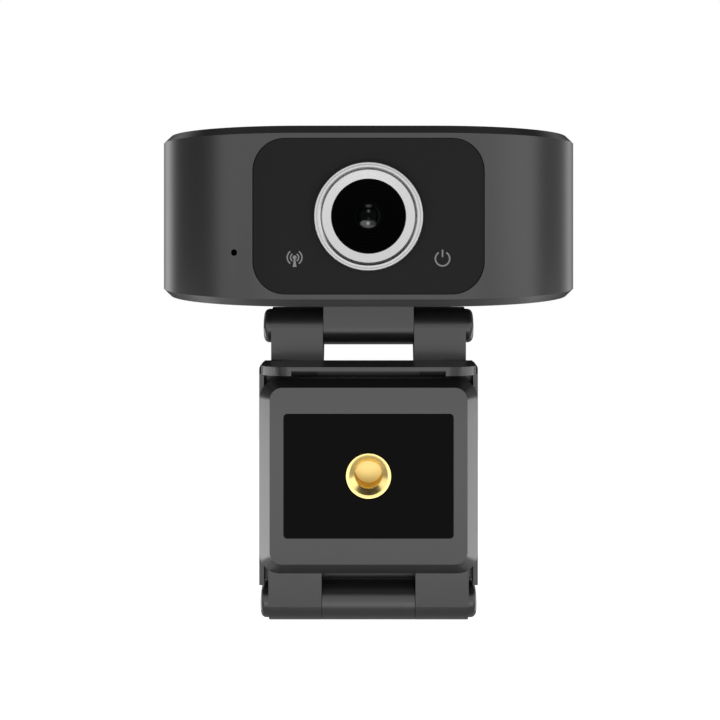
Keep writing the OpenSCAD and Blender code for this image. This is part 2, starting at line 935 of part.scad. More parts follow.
module leg() {
    color("dimgray")
        difference() {
            union() {
                hull() {
                    rounded_plate(leg_face_w, leg_face_h, leg_face_r, leg_face_y, eps);
                    rounded_plate(leg_outer_w, leg_outer_h, leg_outer_r, bevel_back_y, eps, leg_mid_z);
                }
                rounded_plate(leg_outer_w, leg_outer_h, leg_outer_r, bevel_back_y, leg_flange_t, leg_mid_z);
                rounded_plate(core_w, leg_outer_h - 2 * core_inset, leg_outer_r - core_inset,
                              bevel_back_y, leg_back_t, leg_mid_z);
                for (side = [0, 1])
                    mirror([side, 0, 0]) {
                        at_fold()
                            along_x(barrel_r, ear_gap_half, ear_out);
                        translate([ear_gap_half, bevel_back_y, fold_z])
                            cube([ear_w, leg_back_t, leg_foot_z - fold_z + 3]);
                    }
            }
            rounded_plate(pad_w + 0.1, pad_h + 0.1, pad_r, leg_face_y - 1, pad_pocket + 1);
            rounded_plate(pad_w - 1.9, pad_h + 0.6, pad_r, leg_back_y - pad_pocket, 2);
            along_y(2 * insert_flange_r + 0.04, leg_face_y - 1, leg_face_y + 1);
            along_y(2 * insert_body_r + 0.04, leg_face_y, leg_back_y);
            at_fold()
                ear_bores();
        }
}

module leg_pad() {
    color("#151515")
        difference() {
            rounded_plate(pad_w, pad_h, pad_r, leg_face_y - pad_proud, pad_pocket + pad_proud);
            along_y(2 * insert_flange_r + 0.1, leg_face_y - 1, leg_back_y);
        }
}

module grip_pad() {
    color("#151515")
        rounded_plate(pad_w - 2, pad_h + 0.5, pad_r, leg_back_y - pad_pocket, pad_pocket + hidden_pad_proud);
}

module tripod_insert() {
    end_y = leg_back_y - pad_pocket;
    color("gold")
        turned([
            [0, thread_len], [thread_r, thread_len], [thread_r, 0], [countersink_r, -countersink_d],
            [insert_flange_r - 0.15, -countersink_d], [insert_flange_r, 0.15 - countersink_d],
            [insert_flange_r, 1 - countersink_d], [insert_body_r, 1 - countersink_d],
            [insert_body_r, end_y], [0, end_y]
        ]);
}

front_shell();
rear_shell();
face_panel();
lens_bezel();
lens_trim();
light_hood();
lens_barrel();
front_lens();
rear_lens();
infrared_filter();
lens_holder();
image_sensor();
camera_board();
video_chip();
board_screws();
mic_boot();
mic_capsule();
light_guides();
indicator_leds();
cable_socket();
cable_grommet();
case_screws();
neck();
neck_screws();
tilt_sleeve();
bracket();
tilt_pin();
tilt_caps();
bracket_pad();
fold_sleeve();
leg();
leg_pad();
grip_pad();
tripod_insert();
fold_pin();
fold_caps();
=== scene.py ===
# %% [markdown]
# # A webcam on a folding clip stand
# This lesson dresses a small camera that is already built as solids: a wide charcoal head
# with a ringed lens, carried on a friction hinge over a clip whose leg folds up in front of
# it. The solids come packed with their joints, so nothing here is moved or resized. Each step
# adds one finish or one small piece that a solid modeller leaves out, such as a printed
# sign, the thread in the brass insert or the cross in a screw head.

import json
import math

import bmesh
import bpy
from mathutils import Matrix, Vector
from mathutils.bvhtree import BVHTree


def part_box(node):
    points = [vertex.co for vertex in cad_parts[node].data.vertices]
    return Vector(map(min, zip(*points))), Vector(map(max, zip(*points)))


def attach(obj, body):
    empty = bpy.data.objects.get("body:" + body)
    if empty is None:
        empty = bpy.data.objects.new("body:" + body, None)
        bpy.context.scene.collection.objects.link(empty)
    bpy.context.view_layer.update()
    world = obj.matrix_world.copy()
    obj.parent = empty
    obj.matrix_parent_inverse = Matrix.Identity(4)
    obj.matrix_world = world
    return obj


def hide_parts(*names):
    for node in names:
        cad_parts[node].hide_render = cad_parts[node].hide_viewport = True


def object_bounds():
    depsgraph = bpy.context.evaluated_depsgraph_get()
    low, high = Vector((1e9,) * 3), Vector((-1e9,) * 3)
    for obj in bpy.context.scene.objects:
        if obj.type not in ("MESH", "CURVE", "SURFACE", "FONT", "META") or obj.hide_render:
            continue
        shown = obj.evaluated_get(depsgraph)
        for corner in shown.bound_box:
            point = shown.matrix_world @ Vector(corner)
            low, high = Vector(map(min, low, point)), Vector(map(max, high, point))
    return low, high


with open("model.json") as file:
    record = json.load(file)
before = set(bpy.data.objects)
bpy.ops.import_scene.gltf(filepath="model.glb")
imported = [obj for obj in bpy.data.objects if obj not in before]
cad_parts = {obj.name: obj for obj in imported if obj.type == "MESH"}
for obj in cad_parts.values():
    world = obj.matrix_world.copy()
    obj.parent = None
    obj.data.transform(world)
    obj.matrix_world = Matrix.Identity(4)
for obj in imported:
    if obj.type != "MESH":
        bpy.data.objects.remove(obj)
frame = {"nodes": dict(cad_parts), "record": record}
cad_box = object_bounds()
nodes = frame["nodes"]
MM = 0.001

# %% [markdown]
# ## The camera and the room
# The head is looked at straight on from its own height, from close by, so the hinge and the
# folded leg are seen a little from above. A level camera with a shifted lens keeps every
# upright edge upright, which a tilted camera would not.

# %% Place the camera
LENS_AXIS = (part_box("lens_bezel")[0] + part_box("lens_bezel")[1]) / 2
HEAD_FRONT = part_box("front_shell")[0].y
VIEW_DISTANCE = 150 * MM
SENSOR_MM = 36
FOCAL_MM = 43.4
SHIFT_ACROSS, SHIFT_UP = -0.011875, -0.19979167  # shares of the frame's width

lens_data = bpy.data.cameras.new("studio_camera")
lens_data.sensor_width = SENSOR_MM
lens_data.lens = FOCAL_MM
lens_data.shift_x = SHIFT_ACROSS
lens_data.shift_y = SHIFT_UP
lens_data.clip_start = 5 * MM
studio_camera = bpy.data.objects.new("studio_camera", lens_data)
studio_camera.location = (0, HEAD_FRONT - VIEW_DISTANCE, LENS_AXIS.z)
studio_camera.rotation_euler = (math.radians(90), 0, 0)
bpy.context.scene.collection.objects.link(studio_camera)
bpy.context.scene.camera = studio_camera
bpy.context.scene.view_settings.view_transform = "Standard"
print("camera", tuple(round(v, 4) for v in studio_camera.location))

# %% [markdown]
# ## Node helpers
# A finish is a small graph of nodes. These helpers keep each graph short to read: they add a
# node and plug its inputs, chain Math nodes, and start a material or a node group.

# %% Helpers that add nodes


def plug(tree, socket, value):
    """Sets a socket to a plain value, or links it if the value is another node's output."""
    if isinstance(value, bpy.types.NodeSocket):
        tree.links.new(value, socket)
    else:
        socket.default_value = value


def add_node(tree, kind, inputs=None, **settings):
    """One new node, with its settings made first and its inputs then plugged."""
    node = tree.nodes.new(kind)
    for name, value in settings.items():
        setattr(node, name, value)
    for name, value in (inputs or {}).items():
        plug(tree, node.inputs[name], value)
    return node


def maths(tree, operation, first, *others):
    """Math nodes in a chain: "ADD" with a, b and c is a + b + c, and "SQRT" needs only a."""
    for other in others or (0.0,):
        first = add_node(tree, "ShaderNodeMath", {0: first, 1: other}, operation=operation).outputs[0]
    return first


def distance(tree, u, v):
    """How far the point (u, v) lies from zero."""
    squares = [maths(tree, "MULTIPLY", side, side) for side in (u, v)]
    return maths(tree, "SQRT", maths(tree, "ADD", *squares))


def ramp(tree, value, start, stop, low, high, smooth=True):
    """Goes from low to high as a value goes from start to stop, softly at both ends or evenly."""
    inputs = {"Value": value, "From Min": start, "From Max": stop, "To Min": low, "To Max": high}
    curve = "SMOOTHSTEP" if smooth else "LINEAR"
    return add_node(tree, "ShaderNodeMapRange", inputs, interpolation_type=curve).outputs["Result"]


def place_on(tree, vector="Object"):
    """X, Y and Z of one of Texture Coordinate's vectors, as three outputs."""
    where = add_node(tree, "ShaderNodeTexCoord").outputs[vector]
    return add_node(tree, "ShaderNodeSeparateXYZ", {0: where}).outputs


def bump(tree, height, depth, strength, under=None):
    """The normal of a Bump node; under is the normal of a bump that it lies on."""
    inputs = {"Height": height, "Distance": depth, "Strength": strength}
    if under is not None:
        inputs["Normal"] = under
    return add_node(tree, "ShaderNodeBump", inputs).outputs["Normal"]


print("a Math node, a ramp, a place and a bump are now one call each")

# %% Helpers that start a material or a group
FLOAT = "NodeSocketFloat"


def new_finish(name, **surface):
    """A material with one Principled shader, its plain values set on the shader itself."""
    finish = bpy.data.materials.new(name)
    finish.use_nodes = True
    tree = finish.node_tree
    tree.nodes.clear()
    shader = tree.nodes.new("ShaderNodeBsdfPrincipled")
    add_node(tree, "ShaderNodeOutputMaterial", {"Surface": shader.outputs[0]})
    for socket, value in surface.items():
        shader.inputs[socket.replace("_", " ")].default_value = value
    return finish, tree, shader


def new_group(name, inputs, outputs):
    """A shader node group with named float sockets, and its two end nodes."""
    group = bpy.data.node_groups.new(name, "ShaderNodeTree")
    for label, value in inputs:
        group.interface.new_socket(label, in_out="INPUT", socket_type=FLOAT).default_value = value
    for label in outputs:
        group.interface.new_socket(label, in_out="OUTPUT", socket_type=FLOAT)
    return group, group.nodes.new("NodeGroupInput").outputs, group.nodes.new("NodeGroupOutput").inputs


def use_group(tree, group, **inputs):
    """Places a group in a tree and returns its outputs."""
    plugs = {name.replace("_", " "): value for name, value in inputs.items()}
    return add_node(tree, "ShaderNodeGroup", plugs, node_tree=group).outputs


def node_of(tree, kind):
    """The first node of a kind in a tree."""
    return next(node for node in tree.nodes if node.type == kind)


def linear(shade):
    """The linear value of a grey given as 0 to 255 on screen."""
    c = shade / 255
    return c / 12.92 if c <= 0.04045 else ((c + 0.055) / 1.055) ** 2.4


print("a middle grey of 128 on screen is", round(linear(128), 3), "in a shader")

# %% [markdown]
# ## Shared effects
# Moulded plastic is never quite even: the mould is spark-eroded, so the skin has a fine
# grain of about a tenth of a millimetre, and the gloss drifts slowly over the part. One
# group makes both from the object's own coordinates, and each finish sets its own scale.

# %% The moulded grain
DRIFT_SCALE = 70.0
moulded_grain, asked, given = new_group(
    "moulded_grain",
    [("Grain Size mm", 0.12), ("Roughness", 0.4), ("Spread", 0.04)],
    ["Height", "Roughness", "Drift"],
)
tree = moulded_grain
place = add_node(tree, "ShaderNodeTexCoord").outputs["Object"]
per_metre = maths(tree, "DIVIDE", 1 / MM, asked["Grain Size mm"])
fine_look = {"Vector": place, "Scale": per_metre, "Detail": 2.0, "Roughness": 0.55}
slow_look = {"Vector": place, "Scale": DRIFT_SCALE, "Detail": 3.0, "Roughness": 0.5}
fine = add_node(tree, "ShaderNodeTexNoise", fine_look).outputs["Fac"]
slow = add_node(tree, "ShaderNodeTexNoise", slow_look).outputs["Fac"]
drift = maths(tree, "SUBTRACT", slow, 0.5)
rough = maths(tree, "ADD", asked["Roughness"], maths(tree, "MULTIPLY", drift, asked["Spread"]))
plug(tree, given["Height"], fine)
plug(tree, given["Roughness"], rough)
plug(tree, given["Drift"], drift)
print("group", moulded_grain.name, "has", len(tree.nodes), "nodes")

# %% [markdown]
# Turned metal carries the fine rings of the tool. The second group measures how far a point
# lies from an axis along Y and reads a noise at that distance, which makes rings. A noise in
# one dimension does it, because it never repeats, while a wave texture would.

# %% The lathe rings
lathe_rings, asked, given = new_group(
    "lathe_rings",
    [("Axis X", 0.0), ("Axis Z", 0.0), ("Pitch mm", 0.08)],
    ["Height", "Shade"],
)
tree = lathe_rings
at = place_on(tree)
off_x = maths(tree, "SUBTRACT", at["X"], asked["Axis X"])
off_z = maths(tree, "SUBTRACT", at["Z"], asked["Axis Z"])
radius_mm = maths(tree, "MULTIPLY", distance(tree, off_x, off_z), 1 / MM)
turns = maths(tree, "DIVIDE", radius_mm, asked["Pitch mm"])
ring_look = {"W": turns, "Scale": 1.0, "Detail": 2.0}
tool_marks = add_node(tree, "ShaderNodeTexNoise", ring_look, noise_dimensions="1D").outputs["Fac"]
plug(tree, given["Height"], tool_marks)
plug(tree, given["Shade"], tool_marks)
print("group", lathe_rings.name, "has", len(tree.nodes), "nodes")

# %% [markdown]
# ## Finishes
# Each record slot gets one finish. Plastics differ mostly in how rough they are and how deep
# the grain is, so one function makes them all. Its grain goes into the roughness and a bump,
# and the slow drift also tints the colour a little, as a batch of pigment does.

# %% Plastics and rubbers
GRAIN_STRENGTH, PIGMENT_DRIFT = 0.6, 0.12


def tint(tree, shader, colour, drift, amount):
    """Base colour that wanders a little round the given one."""
    factor = maths(tree, "ADD", maths(tree, "MULTIPLY", drift, amount), 1.0)
    inputs = {0: colour, "Scale": factor}
    mixed = add_node(tree, "ShaderNodeVectorMath", inputs, operation="SCALE").outputs[0]
    plug(tree, shader.inputs["Base Color"], mixed)


def moulded(name, colour, roughness, grain_mm=0.12, depth_mm=0.004, **surface):
    """A moulded plastic or rubber with its grain and a slow drift of gloss and colour."""
    finish, tree, shader = new_finish(name, **surface)
    grain = use_group(tree, moulded_grain, Grain_Size_mm=grain_mm, Roughness=roughness, Spread=0.05)
    tint(tree, shader, colour, grain["Drift"], PIGMENT_DRIFT)
    plug(tree, shader.inputs["Roughness"], grain["Roughness"])
    plug(tree, shader.inputs["Normal"], bump(tree, grain["Height"], depth_mm * MM, GRAIN_STRENGTH))
    return finish


def grey(value):
    """A neutral colour."""
    return (value,) * 3


CHARCOAL = (0.010, 0.010, 0.0105)
SHEEN = 0.76
finishes = {  # slot: name, colour, roughness, and for some the grain's size and depth in mm
    "shell_plastic": moulded("satin_shell", CHARCOAL, 0.30, Specular_IOR_Level=SHEEN),
    "clip_plastic": moulded("satin_clip", CHARCOAL, 0.30, Specular_IOR_Level=SHEEN),
    "cap_plastic": moulded("satin_caps", CHARCOAL, 0.28, Specular_IOR_Level=SHEEN),
    "face_black": moulded("matt_face", grey(0.012), 0.7, 0.09, 0.002, Specular_IOR_Level=0.15),
    "hood_black": moulded("flocked_hood", grey(0.0022), 0.9, 0.15, 0.006, Specular_IOR_Level=0.0),
    "barrel_black": moulded("anodised_barrel", grey(0.0012), 0.8, Specular_IOR_Level=0.04),
    "holder_black": moulded("black_holder", (0.02, 0.02, 0.021), 0.5),
    "chip_black": moulded("chip_resin", (0.015, 0.015, 0.016), 0.55),
    "board_green": moulded("green_board", (0.015, 0.09, 0.035), 0.35, 0.4, 0.01),
    "rubber_black": moulded("pad_rubber", grey(0.0035), 0.85, 0.2, 0.012, Specular_IOR_Level=0.08),
    "led_white": moulded("white_led", (0.75, 0.75, 0.7), 0.4),
    "socket_ivory": moulded("ivory_socket", (0.72, 0.69, 0.58), 0.45),
    "sensor_die": moulded("sensor_silicon", (0.02, 0.028, 0.035), 0.12),
    "guide_clear": moulded("frosted_guide", (0.85, 0.87, 0.9), 0.15, Transmission_Weight=0.6),
}
sign_ink = moulded("grey_ink", grey(linear(130)), 0.6, 0.08, 0.001, Specular_IOR_Level=0.2)
print("plastics and rubbers:", len(finishes) + 1)

# %% [markdown]
# ### The round ends of the lip
# The lip that overhangs the leg has its two front corners moulded very round, far rounder in
# the skin than in the block behind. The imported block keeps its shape, so a bump does it: its
# height falls away towards each end, and there it also leans a little downwards. It acts on
# the front of the lip only, which a test on the height and on the normal picks out.

# %% The height of the lip's ends
LIP_TOP, LIP_BAND, LIP_MARGIN = 20.6 * MM, 2.2 * MM, 0.1 * MM
END_START, END_RUN, END_RISE, END_DRAFT = 14.6 * MM, 5.6 * MM, 3.7 * MM, 0.2
SOFT_SHARE, SOFT_POWER = 0.8, 1.5  # the corner's gentle start
HARD_SHARE, HARD_POWER = 0.2, 4.0  # its steep last bit
FACING_FRONT = -0.5
rounded_ends, asked, given = new_group(
    "rounded_ends",
    [("Start", END_START), ("Run", END_RUN), ("Rise", END_RISE), ("Draft", END_DRAFT)],
    ["Height"],
)
tree = rounded_ends
at = place_on(tree)
facing = place_on(tree, "Normal")
past_start = maths(tree, "SUBTRACT", maths(tree, "ABSOLUTE", at["X"]), asked["Start"])
along = maths(tree, "MAXIMUM", maths(tree, "DIVIDE", past_start, asked["Run"]), 0.0)
soft_fall = maths(tree, "MULTIPLY", maths(tree, "POWER", along, SOFT_POWER), -SOFT_SHARE)
hard_fall = maths(tree, "MULTIPLY", maths(tree, "POWER", along, HARD_POWER), -HARD_SHARE)
fall = maths(tree, "MULTIPLY", maths(tree, "ADD", soft_fall, hard_fall), asked["Rise"])
below_top = maths(tree, "SUBTRACT", at["Z"], LIP_TOP)
lean = maths(tree, "MULTIPLY", below_top, asked["Draft"], maths(tree, "MINIMUM", along, 1.0))
on_lip = maths(
    tree,
    "MULTIPLY",
    maths(tree, "GREATER_THAN", at["Z"], LIP_TOP - LIP_BAND),
    maths(tree, "LESS_THAN", at["Z"], LIP_TOP + LIP_MARGIN),
    maths(tree, "LESS_THAN", facing["Y"], FACING_FRONT),
)
plug(tree, given["Height"], maths(tree, "MULTIPLY", maths(tree, "ADD", fall, lean), on_lip))
print("group", rounded_ends.name, "has", len(tree.nodes), "nodes")

# %% Lay it over the grain of the clip's plastic
clip_tree = finishes["clip_plastic"].node_tree
clip_shader = node_of(clip_tree, "BSDF_PRINCIPLED")
grain_normal = clip_shader.inputs["Normal"].links[0].from_socket
end_height = use_group(clip_tree, rounded_ends)["Height"]
plug(clip_tree, clip_shader.inputs["Normal"], bump(clip_tree, end_height, 1.0, 1.0, grain_normal))
print("the clip's finish has", len(clip_tree.nodes), "nodes")

# %% [markdown]
# ### Metals and glass
# The bezel and the trim are turned aluminium, the insert is turned brass, and the pins and
# sleeves are ground or sintered. A metal takes its colour from itself and its life from its
# tool marks, so the ring group feeds its colour, its roughness and its bump. The inner glass
# stays clear, with only a trace of haze.

# %% Metals and glass
RING_STRENGTH, RING_DEPTH_MM, RING_SHADE = 0.5, 0.0015, 0.1


def turned_metal(name, colour, roughness, axis=(0, 0)):
    """A metal with fine rings round an axis along Y, given as (x, z)."""
    finish, tree, shader = new_finish(name, Metallic=1.0)
    rings = use_group(tree, lathe_rings, Axis_X=axis[0], Axis_Z=axis[1], Pitch_mm=0.08)
    centred = maths(tree, "SUBTRACT", rings["Shade"], 0.5)
    tint(tree, shader, colour, centred, RING_SHADE)
    rough = maths(tree, "ADD", maths(tree, "MULTIPLY", centred, RING_SHADE), roughness)
    plug(tree, shader.inputs["Roughness"], rough)
    marks = bump(tree, rings["Height"], RING_DEPTH_MM * MM, RING_STRENGTH)
    plug(tree, shader.inputs["Normal"], marks)
    return finish


def clear_glass(name, colour, ior):
    """Clear glass whose tint and haze drift over a few millimetres."""
    finish, tree, shader = new_finish(name, Transmission_Weight=1.0, IOR=ior)
    grain = use_group(tree, moulded_grain, Grain_Size_mm=3.0, Roughness=0.02, Spread=0.01)
    tint(tree, shader, colour, grain["Drift"], 0.1)
    plug(tree, shader.inputs["Roughness"], grain["Roughness"])
    return finish


LENS_AT = (LENS_AXIS.x, LENS_AXIS.z)
finishes.update(
    trim_silver=turned_metal("satin_silver", (0.505, 0.505, 0.51), 0.30, LENS_AT),
    insert_brass=turned_metal("turned_brass", (0.92, 0.70, 0.27), 0.24),
    screw_steel=turned_metal("zinc_steel", (0.50, 0.50, 0.51), 0.32),
    pin_steel=turned_metal("ground_steel", (0.52, 0.52, 0.54), 0.22),
    sleeve_bronze=turned_metal("sintered_bronze", (0.55, 0.36, 0.19), 0.35),
    mic_metal=turned_metal("plated_can", (0.65, 0.62, 0.54), 0.3),
    lens_glass=clear_glass("coated_glass", (0.85, 0.9, 1.0), 1.2),
    filter_glass=clear_glass("tinted_filter", (0.75, 0.62, 0.75), 1.5),
)
print("finishes:", len(finishes))

# %% [markdown]
# The insert's floor is left by the drill, so it is rougher than the turned flange and
# scatters the light that falls into the bore. The depth along Y tells the floor apart.

# %% The drilled floor of the brass insert
DRILLED_FROM, DRILLED_ROUGHNESS = 4.0 * MM, 0.42
brass_tree = finishes["insert_brass"].node_tree
brass_rough = node_of(brass_tree, "BSDF_PRINCIPLED").inputs["Roughness"]
turned_rough = brass_rough.links[0].from_socket
is_drilled = maths(brass_tree, "GREATER_THAN", place_on(brass_tree)["Y"], DRILLED_FROM)
drilled_rough = maths(brass_tree, "MULTIPLY", is_drilled, DRILLED_ROUGHNESS)
plug(brass_tree, brass_rough, maths(brass_tree, "MAXIMUM", turned_rough, drilled_rough))
print("brass is drilled beyond", DRILLED_FROM / MM, "mm")

# %% Put each finish on the slot that asks for it
for part in frame["record"]["subparts"]:
    mesh = nodes[part["node"]].data
    mesh.materials.clear()
    mesh.materials.append(finishes[part["material_slot"]])
print("dressed:", ", ".join(sorted(nodes)))

# %% [markdown]
# ## The two signs on the face
# A broadcast mast and a power ring are printed on the black panel in grey ink. Each is drawn
# as flat bands, then every point is dropped onto the panel along the lens direction, so the
# ink follows the panel where it starts to curve. A thin closed skin is easier to export than
# an image, and stays sharp from close by.

# %% Bands for the signs


def arc_band(radius, width, start, stop, steps):
    """A band along an arc round (0, 0); angles in degrees, counter-clockwise from +X."""
    rungs = []
    for i in range(steps + 1):
        a = math.radians(start + (stop - start) * i / steps)
        sides = (radius + width / 2, radius - width / 2)
        rungs.append([(side * math.cos(a), side * math.sin(a)) for side in sides])
    return rungs


def bar_band(from_z, to_z, from_width, to_width, steps=6):
    """An upright band on x = 0 between two heights, whose width may change along it."""
    rungs = []
    for i in range(steps + 1):
        share = i / steps
        z = from_z + (to_z - from_z) * share
        half = (from_width + (to_width - from_width) * share) / 2
        rungs.append([(half, z), (-half, z)])
    return rungs


def disc_band(radius, steps=20):
    """A disc round (0, 0), cut into rungs from left to right."""
    rungs = []
    for i in range(steps + 1):
        a = math.pi * i / steps
        x, rise = -radius * math.cos(a), radius * math.sin(a)
        rungs.append([(x, -rise), (x, rise)])
    return rungs


print("a disc has", len(disc_band(1)), "rungs")

# %% A helper that makes a bmesh a piece


def finished(name, shape, body, finish, replaces=None, sharp=None):
    """Turns a bmesh into a piece with one finish. Edges that bend less than sharp, in degrees,
    are shaded soft; without it the faces stay flat."""
    bmesh.ops.remove_doubles(shape, verts=shape.verts, dist=1e-7)
    bmesh.ops.recalc_face_normals(shape, faces=shape.faces)
    if sharp is not None:
        for face in shape.faces:
            face.smooth = True
        for edge in shape.edges:
            if len(edge.link_faces) == 2:
                edge.smooth = edge.calc_face_angle() < math.radians(sharp)
    mesh = bpy.data.meshes.new(name)
    shape.to_mesh(mesh)
    shape.free()
    mesh.materials.append(finish)
    piece = bpy.data.objects.new(name, mesh)
    bpy.context.scene.collection.objects.link(piece)
    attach(piece, body)
    if replaces:
        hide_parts(replaces)
    print(name, "faces:", len(mesh.polygons))


# %% A helper that prints bands of ink on the panel
INK = 0.015 * MM
panel = nodes["face_panel"].data
corner_places = [corner.co for corner in panel.vertices]
panel_tree = BVHTree.FromPolygons(corner_places, [face.vertices for face in panel.polygons])


def printed_sign(name, centre, bands):
    """Lays bands of ink (in mm, round centre) on the panel as one thin closed skin."""
    sign = bmesh.new()
    for rungs in bands:
        layers = []
        for lift in (INK, -INK):
            row = []
            for x, z in (point for rung in rungs for point in rung):
                start = Vector((centre[0] + x * MM, HEAD_FRONT - 5 * MM, centre[1] + z * MM))
                hit = panel_tree.ray_cast(start, Vector((0, 1, 0)))[0]
                row.append(sign.verts.new(hit - Vector((0, lift, 0))))
            layers.append(row)
        top, base = layers
        for a in range(0, 2 * len(rungs) - 2, 2):
            b, c, d = a + 1, a + 3, a + 2
            sign.faces.new((top[a], top[b], top[c], top[d]))
            sign.faces.new((base[d], base[c], base[b], base[a]))
            sign.faces.new((top[a], top[d], base[d], base[a]))
            sign.faces.new((top[b], base[b], base[c], top[c]))
        sign.faces.new((top[0], base[0], base[1], top[1]))
        sign.faces.new((top[-2], top[-1], base[-1], base[-2]))
    finished(name, sign, "head", sign_ink)


print("the panel has", len(panel.polygons), "faces to print on")

# %% The broadcast mast and the power ring
SIGN_X = 12.8 * MM
MAST_Z = LENS_AXIS.z - 7.15 * MM
RING_Z = LENS_AXIS.z - 7.36 * MM
BEAD_R, WAVE_WIDTH, STROKE = 0.35, 0.24, 0.27
mast = [disc_band(BEAD_R), bar_band(from_z=-0.3, to_z=-1.64, from_width=0.26, to_width=0.70)]
for wave_radius, half_angle in ((0.71, 58), (1.28, 55)):
    for middle in (0, 180):
        start, stop = middle - half_angle, middle + half_angle
        mast.append(arc_band(wave_radius, WAVE_WIDTH, start, stop, steps=16))
power = [
    arc_band(radius=1.24, width=0.26, start=122, stop=418, steps=40),
    bar_band(from_z=0.28, to_z=1.56, from_width=STROKE, to_width=STROKE),
]
printed_sign("broadcast_sign", (-SIGN_X, MAST_Z), mast)
printed_sign("power_sign", (SIGN_X, RING_Z), power)

# %% [markdown]
# ## The front lens
# The glass that shows in the hood is a steep dome, so it is spun from a true arc instead of
# the short cone of the solid. The barrel behind it is blacked out and the glass reads as a
# deep, faintly green black. Its reflections are painted into its colour: a painted pale
# crescent low down, a painted bright spot in it, two painted glints above it, a faint painted
# dot and a painted thin arc at the right edge. A true stack of coated elements would be slow
# to render, so soft ellipses on the object's own coordinates paint these reflections, and
# they tilt with the head.

# %% A helper for the soft ellipses of the painted reflections on the glass
coated = {"Roughness": 0.06, "Specular_IOR_Level": 0.02}
# The glass's reflections and glints are painted into its base colour further down.
painted_glass, glass_tree, glass_shader = new_finish("front_glass_painted_reflections", **coated)
at = place_on(glass_tree)
across, above = (
    maths(glass_tree, "MULTIPLY", maths(glass_tree, "SUBTRACT", at[axis], middle), 1 / MM)
    for axis, middle in (("X", LENS_AXIS.x), ("Z", LENS_AXIS.z))
)


def soft_disc(centre, reach, edge):
    """1 inside an ellipse on the lens (mm from its axis), falling to 0 over a soft edge."""
    u = maths(glass_tree, "DIVIDE", maths(glass_tree, "SUBTRACT", across, centre[0]), reach[0])
    v = maths(glass_tree, "DIVIDE", maths(glass_tree, "SUBTRACT", above, centre[1]), reach[1])
    return ramp(glass_tree, distance(glass_tree, u, v), 1.0 - edge, 1.0 + edge, 1.0, 0.0)


print("the glass starts with", len(glass_tree.nodes), "nodes")

# %% The coated glass and its painted reflections
COATED_BLACK = (0.0012, 0.0022, 0.0017, 1)
# How bright each painted reflection and painted highlight is where it is mixed into the black glass.
PAINTED_CRESCENT_LEVEL, PAINTED_GLINT_LEVEL, PAINTED_SPOT_LEVEL, PAINTED_DOT_LEVEL, PAINTED_RIM_LEVEL = 0.13, 0.09, 0.34, 0.025, 0.018
# A painted crescent of reflection low on the lens, painted brighter at its left and along its low
# edge.
disc = soft_disc(centre=(-0.08, -1.42), reach=(1.42, 0.84), edge=0.14)
flat_top = ramp(glass_tree, above, start=-0.66, stop=-0.92, low=0.0, high=1.0, smooth=False)
painted_brighter_left = ramp(glass_tree, across, start=-0.2, stop=0.6, low=1.0, high=0.35, smooth=False)
painted_brighter_low_edge = ramp(glass_tree, above, start=-1.4, stop=-1.8, low=0.0, high=1.0, smooth=False)
bright = maths(glass_tree, "MAXIMUM", painted_brighter_left, painted_brighter_low_edge)
painted_crescent = maths(glass_tree, "MULTIPLY", disc, flat_top, bright)
# Two painted glints above the centre, a painted bright spot in the crescent and a faint painted dot.
painted_high_glint = soft_disc(centre=(0.0, 1.85), reach=(0.45, 0.24), edge=0.8)
painted_low_glint = soft_disc(centre=(0.0, 0.92), reach=(0.24, 0.24), edge=0.8)
painted_glints = maths(glass_tree, "MAXIMUM", painted_high_glint, painted_low_glint)
painted_spot = soft_disc(centre=(-0.08, -1.28), reach=(0.22, 0.26), edge=0.9)
painted_faint_dot = soft_disc(centre=(0.0, -0.42), reach=(0.2, 0.14), edge=0.9)
# A painted thin arc of reflection along the right edge of the glass.
outer_edge = soft_disc(centre=(0.0, 0.0), reach=(2.05, 2.05), edge=0.05)
inner_edge = soft_disc(centre=(0.0, 0.0), reach=(1.85, 1.9), edge=0.06)
right_half = ramp(glass_tree, across, start=0.6, stop=1.8, low=0.0, high=1.0, smooth=False)
band = maths(glass_tree, "SUBTRACT", outer_edge, inner_edge)
painted_rim_arc = maths(glass_tree, "MULTIPLY", band, right_half)
# All painted reflections together lift the black base colour towards white.
painted_reflections = maths(
    glass_tree,
    "ADD",
    maths(glass_tree, "MULTIPLY", painted_crescent, PAINTED_CRESCENT_LEVEL),
    maths(glass_tree, "MULTIPLY", painted_glints, PAINTED_GLINT_LEVEL),
    maths(glass_tree, "MULTIPLY", painted_spot, PAINTED_SPOT_LEVEL),
    maths(glass_tree, "MULTIPLY", painted_faint_dot, PAINTED_DOT_LEVEL),
    maths(glass_tree, "MULTIPLY", painted_rim_arc, PAINTED_RIM_LEVEL),
)
shades = {"Factor": painted_reflections, 6: COATED_BLACK, 7: (1, 1, 1, 1)}
painted_reflection_colour = add_node(glass_tree, "ShaderNodeMix", shades, data_type="RGBA").outputs[2]
plug(glass_tree, glass_shader.inputs["Base Color"], painted_reflection_colour)
print("the coated glass has", len(glass_tree.nodes), "nodes")

# %% [markdown]
# A lens, a bezel and an insert are all turned, so one helper spins a profile of radius and
# depth round an axis along Y. Another lays the faces between two neighbouring rings, and both
# the thread and the screws use it again further down.

# %% Helpers for turned pieces
SPIN_STEPS = 96


def ring_of(shape, steps, centre, radius_at, depth_at):
    """A ring of points in mm round an axis along Y, its radius and depth set point by point."""
    ring = []
    for i in range(steps):
        a = 2 * math.pi * i / steps
        radius = radius_at(i / steps)
        x, z = radius * math.cos(a), radius * math.sin(a)
        ring.append(shape.verts.new((centre[0] + x * MM, depth_at(x, z) * MM, centre[1] + z * MM)))
    return ring


def tip_of(shape, centre, depth):
    """A ring of one point, which closes a skin on its axis."""
    return [shape.verts.new((centre[0], depth * MM, centre[1]))]


